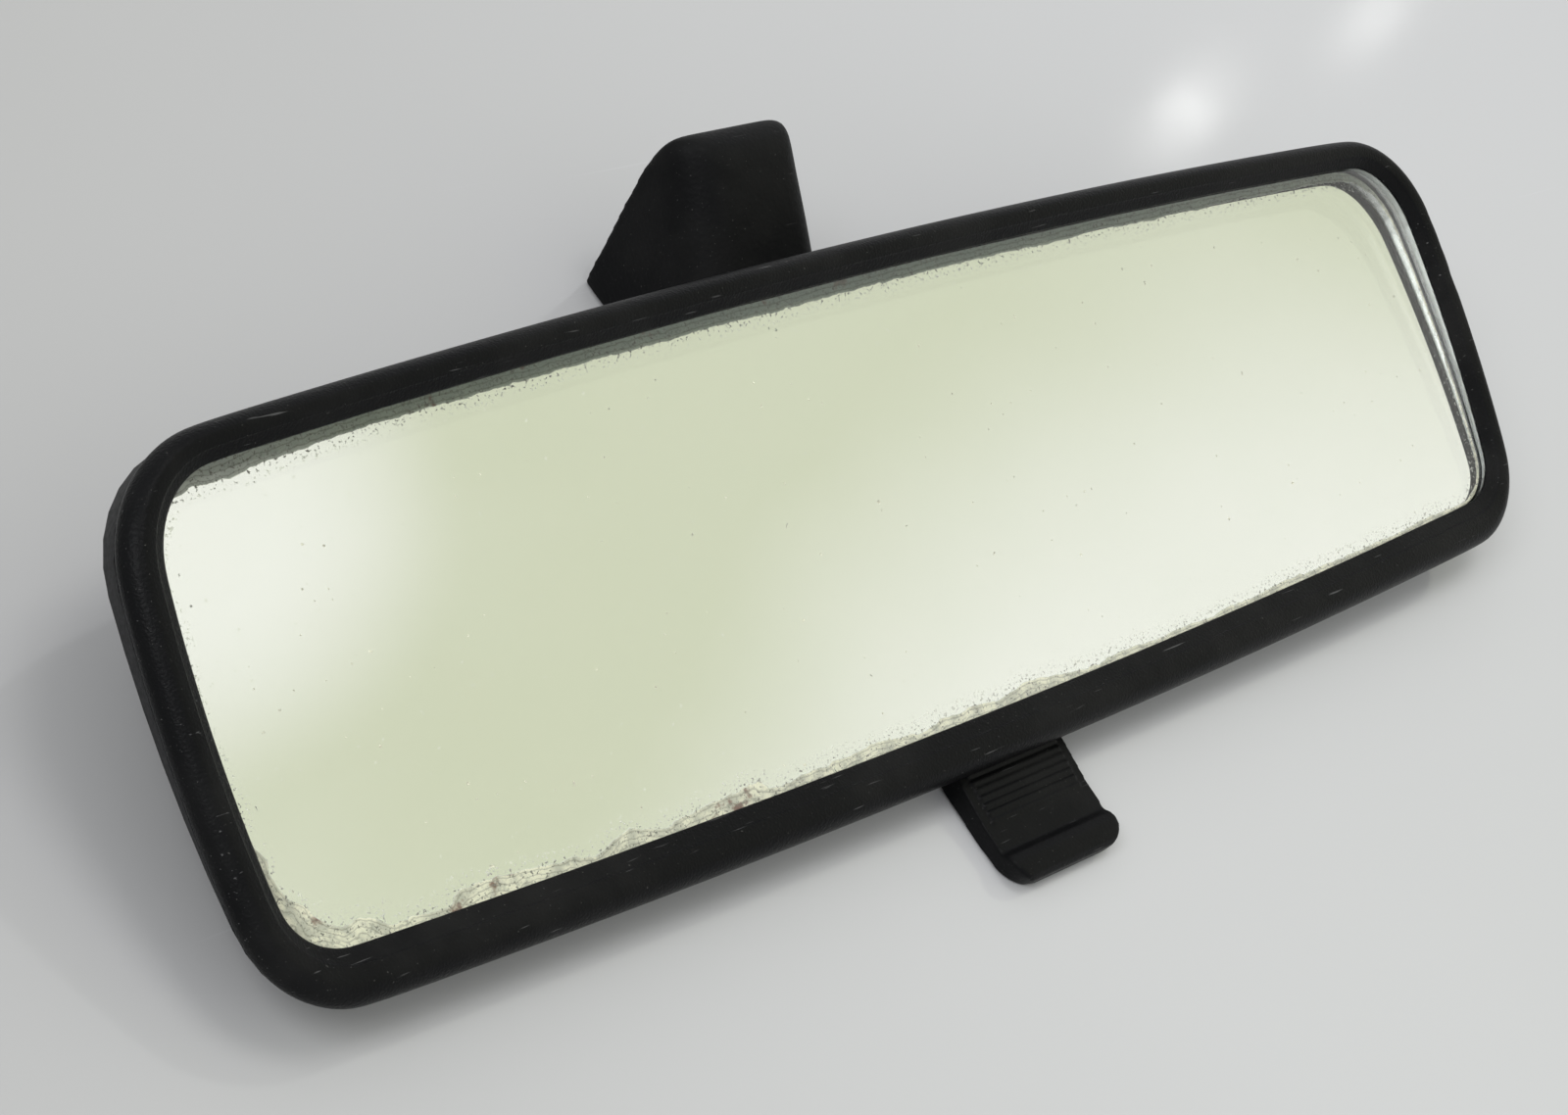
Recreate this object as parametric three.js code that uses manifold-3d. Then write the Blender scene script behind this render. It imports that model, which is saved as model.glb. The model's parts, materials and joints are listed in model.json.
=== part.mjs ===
// Interior rearview mirror with a prismatic day/night glass, millimetres.
// The pieces are modelled in the head frame: x along the mirror, y backwards from the crest of the
// rim, z up the glass. A last group turns the head frame so that the mirror lies on its back, on the
// heel of its foot and the end of its lever, with +Z up from the surface that it lies on.
import * as THREE from "three";
import { mergeVertices } from "three/addons/utils/BufferGeometryUtils.js";
import Module from "manifold-3d";

const wasm = await Module();
wasm.setup();

// ---------------------------------------------------------------- driving dimensions
const headWidth = 240;
const headHeight = 66.1;
const topCrown = 3.2;
const bottomCrown = 2.7;
const sideCrown = 3.15;
const topCornerRadius = 15.6;
const bottomCornerRadius = 13.3;

const fitGap = 0.3;
const runningGap = 0.35;

const rimTopWidth = 4.2;
const rimSideWidth = 5.0;
const rimBottomWidth = 6.3;
const rimDepth = 3.4;
const lipDepth = 1.75;
const glassUnderLip = 0.9;

const glassFrontDepth = lipDepth + fitGap;
const glassTopThickness = 5.2;
const glassBottomThickness = 1.5;
const coatThickness = 0.2;
const padThickness = 1.2;

const shellWall = 1.7;
const shellFrontDepth = rimDepth + fitGap;
const shellFrontInset = 0.6;
const shellDepth = 17.8;
const shellLean = 0.62;
const shellRings = 11;

const ballRadius = 4.75;
const ballNeckRadius = 2.1;
const ballDepth = 14.8;
const ballHeight = 14.5;
const armAngle = THREE.MathUtils.degToRad(50);
const cupWall = 1.1;
const seatWall = 1.6;
const shellHoleSlope = 0.3;
const shellHoleRoom = 0.75;

const tiltPinRadius = 1.25;
const tiltPinDepth = 11.4;
const tiltPinHeight = headHeight / 2 - 7.05;
const tiltPinLength = 33;
const knuckleRadius = 2.7;
const knuckleLength = 24;
const earThickness = 2.4;

const leverPinRadius = 1.2;
const leverPinDepth = 9.2;
const leverPinHeight = 10.05 - headHeight / 2;
const leverHubRadius = 2.8;
const leverWidth = 20.5;
const leverThickness = 3.0;
const leverCrank = 6.9;
const crankPegRadius = 1.1;
const leverExitDepth = 7.1;
const leverEndDepth = 1.5;
const leverEndBelowRim = 14.6;

const armRadius = 4.4;
const hoodWidth = 22.8;
const hoodLength = 26;
const hoodRound = 6.2;
const hoodTaper = 0.0045; // share of the width lost per millimetre of height
const heelRound = 2.2;
const hoodFoot = headHeight / 2 + 0.85;
const hoodFrontFoot = [17.4, hoodFoot];
const hoodFrontTop = [14.7, hoodFoot + 11.6];
const mountPlateThickness = 2.2;
const screwRadius = 1.25;

const bottomEdge = -headHeight / 2;
const farOut = 40; // past the outside of the part, for tools that cut right through

// ---------------------------------------------------------------- materials
function plain(color, roughness, metalness = 0) {
  return new THREE.MeshStandardMaterial({ color, roughness, metalness });
}
const blackSatin = plain(0x17181a, 0.5);
const blackGrain = plain(0x1b1c1e, 0.62);
const glassMaterial = plain(0xb9c8ba, 0.05);
const silver = plain(0xd8dccb, 0.1, 1);
const steel = plain(0x9a9da1, 0.35, 1);
const darkSteel = plain(0x4a4c50, 0.45, 1);
const nylon = plain(0xd9d6cb, 0.5);
const rubber = plain(0x222222, 0.9);
const foam = plain(0x3a3a3a, 0.95);

// ---------------------------------------------------------------- solids
function solid(geometry) {
  const bare = geometry.index ? geometry.toNonIndexed() : geometry.clone();
  bare.deleteAttribute("normal");
  bare.deleteAttribute("uv");
  const merged = mergeVertices(bare, 1e-4);
  const mesh = new wasm.Mesh({
    numProp: 3,
    vertProperties: merged.attributes.position.array,
    triVerts: new Uint32Array(merged.index.array),
  });
  return new wasm.Manifold(mesh);
}

function geometryOf(body) {
  const mesh = body.getMesh();
  const geometry = new THREE.BufferGeometry();
  geometry.setAttribute("position", new THREE.BufferAttribute(mesh.vertProperties, 3));
  geometry.setIndex(new THREE.BufferAttribute(mesh.triVerts, 1));
  return geometry;
}

function join(first, ...others) {
  return others.reduce((whole, next) => whole.add(next), first);
}

function cut(first, ...tools) {
  return tools.reduce((whole, tool) => whole.subtract(tool), first);
}

function boxSolid(xSize, yRange, zRange, x = 0) {
  const geometry = new THREE.BoxGeometry(xSize, yRange[1] - yRange[0], zRange[1] - zRange[0]);
  geometry.translate(x, (yRange[0] + yRange[1]) / 2, (zRange[0] + zRange[1]) / 2);
  return solid(geometry);
}

// A cylinder along x, centred on x.
function xCylinder(radius, length, depth, height, x = 0, sides = 24) {
  const geometry = new THREE.CylinderGeometry(radius, radius, length, sides);
  geometry.rotateZ(Math.PI / 2);
  geometry.translate(x, depth, height);
  return geometry;
}

// A cylinder along y between two depths.
function yCylinder(radius, yRange, x, z, sides = 20) {
  const geometry = new THREE.CylinderGeometry(radius, radius, yRange[1] - yRange[0], sides);
  geometry.translate(x, (yRange[0] + yRange[1]) / 2, z);
  return geometry;
}

// A side profile of [depth, height] points, extruded along x and centred on x = 0.
function sideProfile(points, width) {
  const shape = new THREE.Shape(points.map(([depth, height]) => new THREE.Vector2(depth, height)));
  const geometry = new THREE.ExtrudeGeometry(shape, { depth: width, bevelEnabled: false });
  geometry.translate(0, 0, -width / 2);
  geometry.applyMatrix4(new THREE.Matrix4().makeBasis(
    new THREE.Vector3(0, 1, 0), new THREE.Vector3(0, 0, 1), new THREE.Vector3(1, 0, 0)));
  return geometry;
}

// The socket frame: its +Y runs from the ball's centre along the arm, up and back.
const socketMatrix = new THREE.Matrix4()
  .makeTranslation(0, ballDepth, ballHeight)
  .multiply(new THREE.Matrix4().makeRotationX(armAngle));

function inSocket(geometry) {
  return geometry.applyMatrix4(socketMatrix);
}

// A turned piece about the arm's line, from [radius, distance] points that start and end on the
// line or close on themselves.
function turned(points, sides = 28) {
  const profile = points.map(([radius, along]) => new THREE.Vector2(radius, along));
  return inSocket(new THREE.LatheGeometry(profile, sides));
}

function along(distance) {
  return [ballDepth + distance * Math.cos(armAngle), ballHeight + distance * Math.sin(armAngle)];
}

// ---------------------------------------------------------------- outline of the head
// Four shallow arcs joined by corner arcs, all tangent. An inset moves every arc inwards.
function arcRadius(halfChord, crown) {
  return (halfChord * halfChord + crown * crown) / (2 * crown);
}

function cornerCentre(edgeCentre, edgeRadius, sideCentre, sideRadius, upward) {
  const reach = sideCentre.distanceTo(edgeCentre);
  const offset = (edgeRadius ** 2 - sideRadius ** 2 + reach ** 2) / (2 * reach);
  const rise = Math.sqrt(edgeRadius ** 2 - offset ** 2);
  const direction = sideCentre.clone().sub(edgeCentre).divideScalar(reach);
  const normal = new THREE.Vector2(-direction.y, direction.x);
  const middle = edgeCentre.clone().addScaledVector(direction, offset);
  const choices = [rise, -rise].map((side) => middle.clone().addScaledVector(normal, side));
  return choices.sort((a, b) => (b.x + upward * b.y) - (a.x + upward * a.y))[0];
}

const topRadius = arcRadius(headWidth / 2, topCrown);
const bottomRadius = arcRadius(headWidth / 2, bottomCrown);
const sideRadius = arcRadius(headHeight / 2, sideCrown);
const topCentre = new THREE.Vector2(0, headHeight / 2 - topRadius);
const bottomCentre = new THREE.Vector2(0, bottomRadius - headHeight / 2);
const sideCentre = new THREE.Vector2(headWidth / 2 - sideRadius, 0);
const topCorner = cornerCentre(
  topCentre, topRadius - topCornerRadius, sideCentre, sideRadius - topCornerRadius, 1);
const bottomCorner = cornerCentre(
  bottomCentre, bottomRadius - bottomCornerRadius, sideCentre, sideRadius - bottomCornerRadius, -1);

function arcPoints(centre, radius, from, to, steps) {
  const points = [];
  for (let step = 0; step < steps; step += 1) {
    const angle = from + ((to - from) * step) / steps;
    const normal = new THREE.Vector2(Math.cos(angle), Math.sin(angle));
    points.push({ normal, place: centre.clone().addScaledVector(normal, radius) });
  }
  return points;
}

function angleOf(from, to) {
  return Math.atan2(to.y - from.y, to.x - from.x);
}

// The right half, counter-clockwise from the middle of the bottom edge, then its mirror image.
function headOutline() {
  const bottomEnd = angleOf(bottomCentre, bottomCorner);
  const sideStart = angleOf(sideCentre, bottomCorner);
  const sideEnd = angleOf(sideCentre, topCorner);
  const topStart = angleOf(topCentre, topCorner);
  const half = [
    ...arcPoints(bottomCentre, bottomRadius, -Math.PI / 2, bottomEnd, 8),
    ...arcPoints(bottomCorner, bottomCornerRadius, bottomEnd, sideStart, 7),
    ...arcPoints(sideCentre, sideRadius, sideStart, sideEnd, 6),
    ...arcPoints(topCorner, topCornerRadius, sideEnd, topStart, 7),
    ...arcPoints(topCentre, topRadius, topStart, Math.PI / 2, 8),
  ];
  const middleTop = {
    normal: new THREE.Vector2(0, 1),
    place: new THREE.Vector2(0, headHeight / 2),
  };
  const mirrored = half.slice(1).reverse().map(({ normal, place }) => ({
    normal: new THREE.Vector2(-normal.x, normal.y),
    place: new THREE.Vector2(-place.x, place.y),
  }));
  return [...half, middleTop, ...mirrored];
}

const outline = headOutline();

function rimWidthAt(normal) {
  const edgeWidth = normal.y > 0 ? rimTopWidth : rimBottomWidth;
  return THREE.MathUtils.lerp(rimSideWidth, edgeWidth, normal.y * normal.y);
}

function insetPoint(point, inset) {
  return point.place.clone().addScaledVector(point.normal, -inset);
}

// ---------------------------------------------------------------- lofts
// Joins rings of equal length, each an array of Vector3, into a closed skin. The rings run round
// the outline with the head's front to their left, so the last ring meets the first (closed), or
// both ends are covered by a fan.
function loft(rings, closed) {
  const count = rings[0].length;
  const places = rings.flat();
  const faces = [];
  const spans = closed ? rings.length : rings.length - 1;
  for (let ring = 0; ring < spans; ring += 1) {
    const here = ring * count;
    const there = ((ring + 1) % rings.length) * count;
    for (let step = 0; step < count; step += 1) {
      const next = (step + 1) % count;
      faces.push(here + step, there + step, there + next);
      faces.push(here + step, there + next, here + next);
    }
  }
  if (!closed) {
    const start = places.length;
    [rings[0], rings.at(-1)].forEach((ring) => {
      const sum = ring.reduce((total, place) => total.add(place), new THREE.Vector3());
      places.push(sum.divideScalar(count));
    });
    const last = (rings.length - 1) * count;
    for (let step = 0; step < count; step += 1) {
      const next = (step + 1) % count;
      faces.push(start, step, next);
      faces.push(start + 1, last + next, last + step);
    }
  }
  const geometry = new THREE.BufferGeometry();
  const numbers = places.flatMap((place) => place.toArray());
  geometry.setAttribute("position", new THREE.Float32BufferAttribute(numbers, 3));
  geometry.setIndex(faces);
  return geometry;
}

function flatRing(inset, depthAt) {
  return outline.map((point) => {
    const amount = typeof inset === "function" ? inset(point) : inset;
    const place = insetPoint(point, amount);
    return new THREE.Vector3(place.x, depthAt(place.y), place.y);
  });
}

// ---------------------------------------------------------------- rim
// A half-round bead with a small step two thirds of the way in, and a lip over the glass.
function bezelRim() {
  const crestShare = 0.42;
  const stepShare = 0.68;
  const beadDepth = 2.5;
  const beadSteps = 5;
  const backChamfer = 0.35;
  const section = [[() => backChamfer, rimDepth], [() => 0, beadDepth]];
  for (let step = 1; step <= beadSteps; step += 1) {
    const angle = (Math.PI / 2) * (step / beadSteps);
    section.push([(w) => w * crestShare * (1 - Math.cos(angle)), beadDepth * (1 - Math.sin(angle))]);
  }
  // The step, the roll down to the lip, and the lip's own underside and back.
  section.push([(w) => w * stepShare, 0.35], [(w) => w * stepShare + 0.12, 0.55]);
  section.push([(w) => w - 0.25, 1.15], [(w) => w, 1.4], [(w) => w, lipDepth]);
  section.push([(w) => w - glassUnderLip - fitGap, lipDepth]);
  section.push([(w) => w - glassUnderLip - fitGap, rimDepth]);
  const rings = section.reverse().map(([inset, depth]) =>
    flatRing((point) => inset(rimWidthAt(point.normal)), () => depth));
  return loft(rings, true);
}

// ---------------------------------------------------------------- glass
const glassTop = headHeight / 2 - rimTopWidth + glassUnderLip;
const glassBottom = bottomEdge + rimBottomWidth - glassUnderLip;

function glassBackAt(height) {
  const share = (height - glassBottom) / (glassTop - glassBottom);
  return glassFrontDepth + THREE.MathUtils.lerp(glassBottomThickness, glassTopThickness, share);
}

function glassInset(extra) {
  return (point) => rimWidthAt(point.normal) - glassUnderLip + extra;
}

function mirrorGlass() {
  const front = flatRing(glassInset(0), () => glassFrontDepth);
  const back = flatRing(glassInset(0), glassBackAt);
  return loft([front, back], false);
}

function silverBacking() {
  const edgeGap = 0.7;
  const front = flatRing(glassInset(edgeGap), (height) => glassBackAt(height) + fitGap);
  const back = flatRing(glassInset(edgeGap), (height) => glassBackAt(height) + fitGap + coatThickness);
  return loft([front, back], false);
}

const padFront = (height) => glassBackAt(height) + 2 * fitGap + coatThickness;
const padWidth = 12;
const padHalfHeight = 13;

// A foam pad between the glass and the shell's ribs, standing on the slope of the glass back.
function glassPad(x) {
  const points = [
    [padFront(-padHalfHeight), -padHalfHeight],
    [padFront(-padHalfHeight) + padThickness, -padHalfHeight],
    [padFront(padHalfHeight) + padThickness, padHalfHeight],
    [padFront(padHalfHeight), padHalfHeight],
  ];
  return sideProfile(points, padWidth).translate(x, 0, 0);
}
const padPlaces = [-82, -44, 44, 82];

// ---------------------------------------------------------------- rear shell
// Rings shrink towards the back along a dome that is deeper above the middle of the head.
function shellRing(share, wall) {
  const inner = wall > 0;
  const round = Math.sqrt(1 - share ** 2.5);
  const widthScale = share;
  const heightScale = share ** 0.8;
  return outline.map((point) => {
    const place = insetPoint(point, shellFrontInset + wall);
    const x = place.x * widthScale;
    const z = place.y * heightScale;
    const lean = 1 + shellLean * (z / (headHeight / 2));
    const depth = shellFrontDepth + (shellDepth - (inner ? wall : 0)) * round * lean;
    return new THREE.Vector3(x, depth, z);
  });
}

function ringShares() {
  const shares = [];
  for (let ring = 0; ring < shellRings; ring += 1) {
    shares.push(Math.cos((ring / shellRings) * (Math.PI / 2) * 0.97));
  }
  return shares;
}

function shellFilled(wall) {
  return solid(loft(ringShares().map((share) => shellRing(share, wall)), false));
}

// The ribs, ears and stop posts run back into the shell's wall, which trims them.
function shellRibs() {
  const ribThickness = 1.8;
  const ribBottom = -11;
  const earMargin = 2.9;
  const postRadius = 2.2;
  const padBack = padFront(padHalfHeight) + padThickness + fitGap;
  const ribs = padPlaces.map((x) => boxSolid(ribThickness, [padBack, farOut], [ribBottom, padHalfHeight], x));
  const tiltEar = knuckleLength / 2 + runningGap + earThickness / 2;
  const leverEar = leverWidth / 2 + runningGap + earThickness / 2;
  [-1, 1].forEach((side) => {
    const tiltReach = [tiltPinDepth - earMargin, farOut];
    ribs.push(boxSolid(earThickness, tiltReach, [tiltPinHeight - earMargin, farOut], side * tiltEar));
    const leverReach = [leverPinDepth - 2.6, farOut];
    const leverSpan = [leverPinHeight - 2.4, leverPinHeight + 3];
    ribs.push(boxSolid(earThickness, leverReach, leverSpan, side * leverEar));
  });
  tiltStops.forEach(([x, z]) => {
    ribs.push(solid(yCylinder(postRadius, [stopDepth + stopThickness + fitGap, farOut], x, z)));
  });
  return join(...ribs);
}

function rearShell() {
  const tub = shellFilled(0).subtract(shellFilled(shellWall));
  const body = join(tub, shellRibs().intersect(shellFilled(0.2)));
  // The opening for the foot's arm widens as it leaves the ball.
  const holeStart = -2;
  const hole = turned([
    [0, holeStart],
    [(seatInner + shellHoleRoom) + holeStart * shellHoleSlope, holeStart],
    [(seatInner + shellHoleRoom) + farOut * shellHoleSlope, farOut],
    [0, farOut],
  ], 36);
  // The lever's slot in the bottom wall, and room for its hub behind.
  const slotWidth = leverWidth + 2 * runningGap;
  const slotSpan = [bottomEdge - 5, leverPinHeight - 5];
  const slot = boxSolid(slotWidth, [leverExitDepth - 2.1, leverExitDepth + 8], slotSpan);
  const hubSpan = [leverPinHeight - 6, leverPinHeight + 3.6];
  const hubRoom = boxSolid(slotWidth, [leverPinDepth - 4, leverPinDepth + 5.5], hubSpan);
  const tiltBore = solid(xCylinder(tiltPinRadius + fitGap, 2 * farOut, tiltPinDepth, tiltPinHeight));
  const leverBore = solid(xCylinder(leverPinRadius + fitGap, farOut, leverPinDepth, leverPinHeight));
  return geometryOf(cut(body, solid(hole), slot, hubRoom, tiltBore, leverBore));
}

// ---------------------------------------------------------------- ball joint
const cupInner = ballRadius + fitGap;
const cupOuter = cupInner + cupWall;
const seatInner = cupOuter + fitGap;
const seatOuter = seatInner + seatWall;

function sphereZone(inner, outer, from, to, steps = 7) {
  const points = [];
  const add = (radius, degrees) => {
    const angle = THREE.MathUtils.degToRad(degrees);
    points.push([radius * Math.sin(angle), radius * Math.cos(angle)]);
  };
  for (let step = 0; step <= steps; step += 1) {
    add(outer, to + ((from - to) * step) / steps);
  }
  for (let step = 0; step <= steps; step += 1) {
    add(inner, from + ((to - from) * step) / steps);
  }
  points.push(points[0]);
  return turned(points);
}

const armStart = 8.6;
const shankLength = 7;

function ballStud() {
  const neckAngle = Math.asin(ballNeckRadius / ballRadius);
  const points = [];
  const steps = 14;
  for (let step = 0; step <= steps; step += 1) {
    const angle = Math.PI - ((Math.PI - neckAngle) * step) / steps;
    points.push([ballRadius * Math.sin(angle), ballRadius * Math.cos(angle)]);
  }
  points[0][0] = 0;
  points.push([ballNeckRadius, armStart - 1.6]);
  points.push([ballNeckRadius + 1.3, armStart - 1.4], [ballNeckRadius + 1.3, armStart - fitGap]);
  points.push([ballNeckRadius, armStart - fitGap], [ballNeckRadius, armStart + shankLength]);
  points.push([0, armStart + shankLength]);
  return turned(points);
}

// ---------------------------------------------------------------- carrier
const plateHalfWidth = 11;
const plateCornerRadius = 6.2;
const plateHalfHeight = seatInner + 0.4;
const clampBase = 0.5;
const clampThickness = 2.6;
const clampScrewPlaces = [-1, 1].map((side) => side * (seatInner + 2.2));
const screwHeadRadius = 2.1;
const screwHeadHeight = 1.2;
const screwDepth = 5;
const screwEndRoom = 0.6;
const glassClearDepth = 8.1;

function clampScrewBore(x, from) {
  const bore = new THREE.CylinderGeometry(screwRadius + fitGap, screwRadius + fitGap, farOut, 16);
  return solid(inSocket(bore.translate(x, farOut / 2 + from, 0)));
}

function socketPlate(from, to, margin = 0) {
  const corner = new THREE.Shape();
  const round = plateCornerRadius + margin;
  const halfX = plateHalfWidth + margin;
  const halfZ = plateHalfHeight + margin;
  corner.absarc(halfX - round, halfZ - round, round, 0, Math.PI / 2);
  corner.absarc(-halfX + round, halfZ - round, round, Math.PI / 2, Math.PI);
  corner.absarc(-halfX + round, -halfZ + round, round, Math.PI, Math.PI * 1.5);
  corner.absarc(halfX - round, -halfZ + round, round, Math.PI * 1.5, Math.PI * 2);
  const settings = { depth: to - from, bevelEnabled: false, curveSegments: 5 };
  const geometry = new THREE.ExtrudeGeometry(corner, settings);
  geometry.rotateX(-Math.PI / 2);
  geometry.translate(0, from, 0);
  return inSocket(geometry);
}

const crankHeight = leverPinHeight + leverCrank;
const forkDepth = leverPinDepth;
const forkBack = forkDepth + 2.7;

function carrierBracket() {
  const blockFront = -6.2;
  const spineWidth = 13;
  const prongThickness = 2.6;
  const prongPlace = 5.2;
  const bridgeBottom = crankHeight + 3.6;
  const spineFoot = crankHeight + 4;
  const prongTop = crankHeight + 7;
  const block = solid(socketPlate(blockFront, clampBase - fitGap));
  const spine = solid(sideProfile([
    [8.9, spineFoot],
    [8.7, 5],
    [8.1, 18],
    [tiltPinDepth - 1.2, tiltPinHeight],
    [tiltPinDepth + 1.4, tiltPinHeight],
    [13, ballHeight - 3],
    [11.3, 2],
    [11.3, spineFoot],
  ], spineWidth));
  const knuckle = solid(xCylinder(knuckleRadius, knuckleLength, tiltPinDepth, tiltPinHeight));
  const prongs = [-1, 1].map((side) => boxSolid(
    prongThickness, [forkDepth - 2.9, forkBack], [crankHeight - 2.2, prongTop], side * prongPlace));
  const bridge = boxSolid(spineWidth, [forkDepth - 1.2, forkDepth + 2.1], [bridgeBottom, prongTop]);
  // The peg's slot is open at the bottom. The open side of its play faces the glass.
  const slotDepths = [forkDepth - crankPegRadius - 0.55, forkDepth + crankPegRadius + 0.4];
  const pegSlot = boxSolid(spineWidth + 3, slotDepths, [crankHeight - 6, crankHeight + crankPegRadius + 0.7]);
  const frontCut = boxSolid(2 * farOut, [-farOut, glassClearDepth], [-farOut, 2 * farOut]);
  const seat = inSocket(new THREE.SphereGeometry(seatInner, 28, 20));
  const tiltBore = solid(xCylinder(tiltPinRadius + fitGap, 2 * farOut, tiltPinDepth, tiltPinHeight));
  const screwBores = clampScrewPlaces.map((x) => clampScrewBore(x, -screwDepth - screwEndRoom));
  const plateRoom = solid(socketPlate(clampBase - fitGap, clampBase + clampThickness + 4, fitGap));
  const whole = join(cut(join(block, spine), plateRoom), knuckle, ...prongs, bridge);
  return geometryOf(cut(whole, frontCut, solid(seat), tiltBore, pegSlot, ...screwBores));
}

function clampPlate() {
  const plate = solid(socketPlate(clampBase, clampBase + clampThickness));
  const seat = solid(inSocket(new THREE.SphereGeometry(seatInner, 28, 20)));
  const bores = clampScrewPlaces.map((x) => clampScrewBore(x, -screwDepth));
  return geometryOf(cut(plate, seat, ...bores));
}

function clampScrew(x) {
  const top = clampBase + clampThickness + fitGap;
  const profile = [
    [0, top - screwDepth - clampThickness],
    [screwRadius, top - screwDepth - clampThickness],
    [screwRadius, top],
    [screwHeadRadius, top],
    [screwHeadRadius, top + 0.6 * screwHeadHeight],
    [0.7 * screwHeadRadius, top + screwHeadHeight],
    [0, top + screwHeadHeight],
  ].map(([radius, height]) => new THREE.Vector2(radius, height));
  const shape = new THREE.LatheGeometry(profile, 16).translate(x, 0, 0);
  const keyRadius = 0.9;
  const keyHeight = 1.6;
  const socket = new THREE.CylinderGeometry(keyRadius, keyRadius, keyHeight, 6);
  socket.translate(x, top + screwHeadHeight, 0);
  return geometryOf(cut(solid(inSocket(shape)), solid(inSocket(socket))));
}

function tiltPin() {
  return xCylinder(tiltPinRadius, tiltPinLength, tiltPinDepth, tiltPinHeight);
}

// Rubber stops between the shell and the carrier's foot.
const stopThickness = 1.6;
const stopRadius = 2;
const stopDepth = forkBack + runningGap;
const tiltStops = [-5.2, 5.2].map((x) => [x, crankHeight + 4.5]);

function tiltStop([x, z]) {
  return yCylinder(stopRadius, [stopDepth, stopDepth + stopThickness], x, z);
}

// ---------------------------------------------------------------- day/night lever
const leverLean = Math.atan2(leverExitDepth - leverEndDepth, leverEndBelowRim);

const leverEndHeight = bottomEdge - leverEndBelowRim;
const leverHeelRise = 0.6;

// A point of the lever's blade: offset backwards from its middle, and up from its end.
function tip(offset, rise) {
  return [
    leverEndDepth + offset * Math.cos(leverLean) + rise * Math.sin(leverLean),
    leverEndHeight - offset * Math.sin(leverLean) + rise * Math.cos(leverLean),
  ];
}

// The blade's outline seen from the front, with round corners at its end, extruded along the depth.
function bladePlan() {
  const halfWidth = leverWidth / 2 + 0.1;
  const cornerRound = 4.2;
  const top = leverPinHeight + 6;
  const roundHeight = leverEndHeight - 0.4 + cornerRound;
  const roundPlace = halfWidth - cornerRound;
  const shape = new THREE.Shape();
  shape.moveTo(halfWidth, top);
  shape.lineTo(-halfWidth, top);
  shape.absarc(-roundPlace, roundHeight, cornerRound, Math.PI, Math.PI * 1.5);
  shape.absarc(roundPlace, roundHeight, cornerRound, Math.PI * 1.5, Math.PI * 2);
  const settings = { depth: 1.5 * farOut, bevelEnabled: false, curveSegments: 7 };
  const geometry = new THREE.ExtrudeGeometry(shape, settings);
  return geometry.rotateX(Math.PI / 2).translate(0, farOut, 0);
}

// The ribs lie half sunk in the blade's front face, from the foot of the grip up to the rim.
const gripFoot = tip(0.5 - leverThickness / 2, leverEndBelowRim - 6.6);
const gripTop = [leverExitDepth - leverThickness / 2, bottomEdge + 1.6];

function gripRibs() {
  const ribCount = 7;
  const ribPitch = 1.05;
  const ribRadius = 0.5;
  const ribSink = 0.2;
  const firstRib = 0.4;
  const length = Math.hypot(gripTop[0] - gripFoot[0], gripTop[1] - gripFoot[1]);
  const ribs = [];
  for (let rib = 0; rib < ribCount; rib += 1) {
    const share = (firstRib + ribPitch * rib) / length;
    const depth = THREE.MathUtils.lerp(gripFoot[0], gripTop[0], share) + ribSink;
    const height = THREE.MathUtils.lerp(gripFoot[1], gripTop[1], share);
    ribs.push(solid(xCylinder(ribRadius, leverWidth - 3.2, depth, height, 0, 10)));
  }
  return ribs;
}

// The blade ends in a raised finger lip, with the ribbed grip above it and the hub at the pin.
// A crank on the hub carries the peg that works the carrier's fork.
function dayNightLever() {
  const half = leverThickness / 2;
  const blade = solid(sideProfile([
    tip(half - 0.8, -0.2),
    tip(-half + 0.6, -0.2),
    tip(-half - 0.1, 0.4),
    tip(-half - 0.45, 1.4),
    tip(-half - 0.5, 2.6),
    tip(-half - 0.2, 3.6),
    tip(-half + 0.5, 4.4),
    gripFoot,
    gripTop,
    [leverPinDepth - 1.9, leverPinHeight],
    [leverPinDepth + 1.6, leverPinHeight],
    tip(half, leverEndBelowRim),
    tip(half, leverHeelRise),
  ], leverWidth));
  const hub = solid(xCylinder(leverHubRadius, leverWidth - 1, leverPinDepth, leverPinHeight));
  const crank = solid(sideProfile([
    [leverPinDepth + 1.4, leverPinHeight],
    [leverPinDepth + 1.2, crankHeight],
    [leverPinDepth - 1.2, crankHeight],
    [leverPinDepth - 1.4, leverPinHeight],
  ], 6));
  const peg = solid(xCylinder(crankPegRadius, 14, leverPinDepth, crankHeight));
  const bore = solid(xCylinder(leverPinRadius + fitGap, farOut, leverPinDepth, leverPinHeight));
  const whole = join(blade.intersect(solid(bladePlan())), ...gripRibs(), hub, crank, peg);
  return geometryOf(cut(whole, bore));
}

const leverPinLength = leverWidth + 2 * runningGap + 2 * earThickness;

function leverPin() {
  return xCylinder(leverPinRadius, leverPinLength, leverPinDepth, leverPinHeight);
}

function detentSpring() {
  const thickness = 0.4;
  const halfWidth = 2.2;
  const back = leverPinDepth - leverHubRadius - fitGap - 0.1;
  return sideProfile([
    [back - thickness, leverPinHeight - halfWidth],
    [back, leverPinHeight - halfWidth],
    [back, leverPinHeight + halfWidth],
    [back - thickness, leverPinHeight + halfWidth],
  ], leverPinLength);
}

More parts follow.
